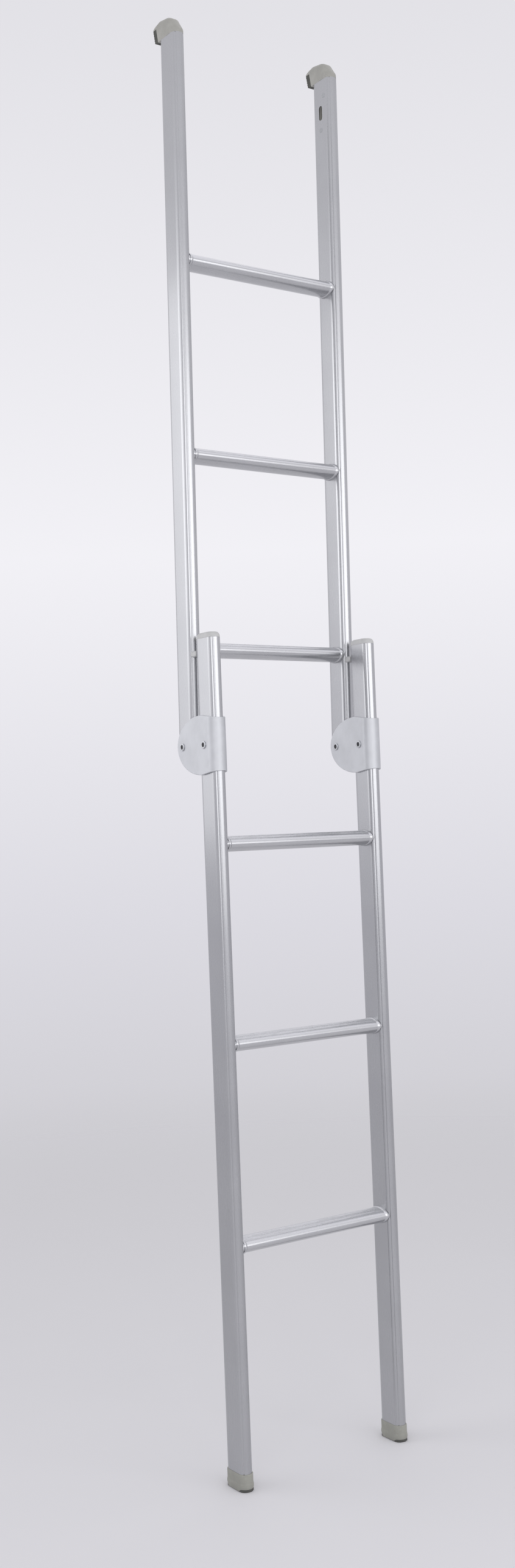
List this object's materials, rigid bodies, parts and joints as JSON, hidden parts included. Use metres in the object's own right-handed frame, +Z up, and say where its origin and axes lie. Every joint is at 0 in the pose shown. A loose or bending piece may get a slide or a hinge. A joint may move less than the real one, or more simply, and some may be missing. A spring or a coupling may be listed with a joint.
{
  "type": "folding ladder",
  "caption": "Folding ladder with oval aluminium stiles and rungs, side hinges that let the lower section swing up behind the upper one, padded top caps and rubber-soled feet.",
  "frame": {"origin": "on the floor under the middle of the box around the ladder, at the height of the foot soles", "axes": "+Z up along the lower section's stiles, +X along the rungs to the right as a climber faces it, +Y away from the climber, towards the wall or rail that the top rests against"},
  "size_m": [0.3064, 0.1022, 2.0831],
  "materials": {
    "stile_aluminium": "clear anodised extrusion, faint lines along its length",
    "rung_aluminium": "clear anodised extrusion, finely ribbed tread",
    "bracket_aluminium": "satin anodised pressing",
    "cap_plastic": "fine grained warm grey moulding",
    "pad_rubber": "matt dark grey rubber",
    "pin_steel": "zinc plated, socketed heads",
    "bush_nylon": "natural nylon",
    "buffer_plastic": "light grey nylon moulding",
    "plug_plastic": "dark grey moulding"
  },
  "bodies": {
    "upper_section": {"upper_stile_left": "stile_aluminium", "upper_stile_right": "stile_aluminium", "rung_1": "rung_aluminium", "rung_2": "rung_aluminium", "rung_3": "rung_aluminium", "top_cap_left": "cap_plastic", "top_cap_right": "cap_plastic", "rest_pad_left": "pad_rubber", "rest_pad_right": "pad_rubber", "cap_rivets": "pin_steel", "upper_end_plug_left": "plug_plastic", "upper_end_plug_right": "plug_plastic", "pivot_bush_left": "bush_nylon", "pivot_bush_right": "bush_nylon", "pivot_washers": "bush_nylon", "stop_buffer_left": "buffer_plastic", "stop_buffer_right": "buffer_plastic"},
    "lower_section": {"lower_stile_left": "stile_aluminium", "lower_stile_right": "stile_aluminium", "rung_4": "rung_aluminium", "rung_5": "rung_aluminium", "rung_6": "rung_aluminium", "lower_end_cap_left": "buffer_plastic", "lower_end_cap_right": "buffer_plastic", "hinge_bracket_left": "bracket_aluminium", "hinge_bracket_right": "bracket_aluminium", "pivot_pins": "pin_steel", "bracket_bolts": "pin_steel", "foot_cap_left": "cap_plastic", "foot_cap_right": "cap_plastic", "foot_sole_left": "pad_rubber", "foot_sole_right": "pad_rubber"}
  },
  "joints": [
    {"name": "fold_hinge", "type": "hinge", "parent": "upper_section", "child": "lower_section", "pos_m": [0, 0.02886, 1.031], "axis": [1, 0, 0], "range_deg": [0, 181]}
  ]
}
